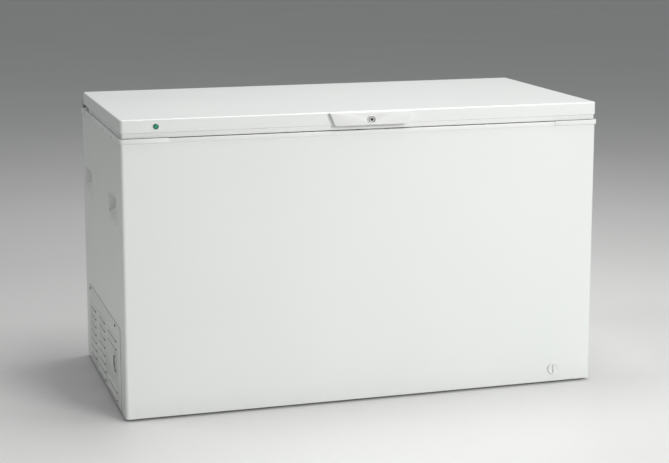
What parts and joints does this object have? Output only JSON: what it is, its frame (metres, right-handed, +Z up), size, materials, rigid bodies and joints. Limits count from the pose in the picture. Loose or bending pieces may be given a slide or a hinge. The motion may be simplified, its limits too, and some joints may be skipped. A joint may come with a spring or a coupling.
{
  "type": "chest freezer",
  "caption": "White chest freezer with a hinged lid, pull handle with lock, side hand grips, louvred machine cover, front drain and lift-out wire baskets.",
  "frame": {"origin": "on the floor under the centre of the cabinet", "axes": "+Z up, front faces -Y, +X to the right seen from the front"},
  "size_m": [1.479, 0.7628, 0.884],
  "materials": {
    "enamel": "satin",
    "white_plastic": "satin",
    "liner": "satin",
    "foam": "matte",
    "zinc": "satin",
    "chrome": "polished",
    "copper": "satin",
    "black_enamel": "satin",
    "black_plastic": "matte",
    "rubber": "matte",
    "gasket": "matte",
    "green_lens": "gloss",
    "clear_lens": "gloss"
  },
  "bodies": {
    "cabinet": {"cabinet_wrapper": "enamel", "rear_panel": "enamel", "vent_grille": "enamel", "collar_frame": "white_plastic", "corner_cap_front_left": "white_plastic", "corner_cap_front_right": "white_plastic", "corner_cap_rear_left": "white_plastic", "corner_cap_rear_right": "white_plastic", "hand_grip_front_left": "white_plastic", "hand_grip_rear_left": "white_plastic", "hand_grip_front_right": "white_plastic", "hand_grip_rear_right": "white_plastic", "control_bezel": "white_plastic", "drain_tube": "white_plastic", "inner_liner": "liner", "liner_floor": "liner", "foam_insulation": "foam", "base_pan": "zinc", "lock_strike": "zinc", "grille_screw_1": "zinc", "grille_screw_2": "zinc", "thermostat_body": "zinc", "compressor_mount": "zinc", "hinge_base_left": "zinc", "hinge_base_right": "zinc", "hinge_pin_left": "zinc", "hinge_pin_right": "zinc", "filter_drier": "copper", "discharge_line": "copper", "suction_line": "copper", "condenser_coil": "copper", "evaporator_coil": "copper", "compressor": "black_enamel", "start_relay": "black_plastic", "cord_gland": "black_plastic", "base_glide_front_left": "rubber", "base_glide_front_right": "rubber", "base_glide_rear_left": "rubber", "base_glide_rear_right": "rubber"},
    "lid": {"lid_shell": "enamel", "lid_inner_panel": "white_plastic", "lid_lip": "white_plastic", "lid_foam": "foam", "lid_gasket": "gasket", "lid_handle": "white_plastic", "handle_housing": "white_plastic", "lock_escutcheon": "chrome", "indicator_lens": "green_lens", "indicator_housing": "black_plastic", "lamp_housing": "white_plastic", "lamp_lens": "clear_lens", "hinge_arm_left": "zinc", "hinge_arm_right": "zinc"},
    "lock": {"lock_barrel": "chrome", "lock_cam": "zinc"},
    "thermostat_dial": {"thermostat_knob": "white_plastic"},
    "drain_cap": {"drain_cap": "white_plastic"},
    "drain_plug": {"drain_plug": "rubber"},
    "basket_left": {"basket_left": "enamel"},
    "basket_right": {"basket_right": "enamel"}
  },
  "joints": [
    {"name": "lid_hinge", "type": "hinge", "parent": "cabinet", "child": "lid", "pos_m": [0, 0.362, 0.838], "axis": [-1, 0, 0], "range_deg": [0, 80]},
    {"name": "lock_turn", "type": "hinge", "parent": "lid", "child": "lock", "pos_m": [0.0075, -0.382, 0.86], "axis": [0, 1, 0], "range_deg": [0, 90]},
    {"name": "thermostat_turn", "type": "hinge", "parent": "cabinet", "child": "thermostat_dial", "pos_m": [-0.7235, -0.203, 0.131], "axis": [-1, 0, 0], "range_deg": [0, 270]},
    {"name": "drain_cap_turn", "type": "hinge", "parent": "cabinet", "child": "drain_cap", "pos_m": [0.611, -0.37, 0.049], "axis": [0, -1, 0], "range_deg": [0, 180]},
    {"name": "drain_plug_lift", "type": "slide", "parent": "cabinet", "child": "drain_plug", "axis": [0, 0, 1], "range_m": [0, 0.045]},
    {"name": "basket_left_slide", "type": "slide", "parent": "cabinet", "child": "basket_left", "axis": [1, 0, 0], "range_m": [-0.05, 0.3]},
    {"name": "basket_right_slide", "type": "slide", "parent": "cabinet", "child": "basket_right", "axis": [1, 0, 0], "range_m": [-0.3, 0.05]}
  ]
}
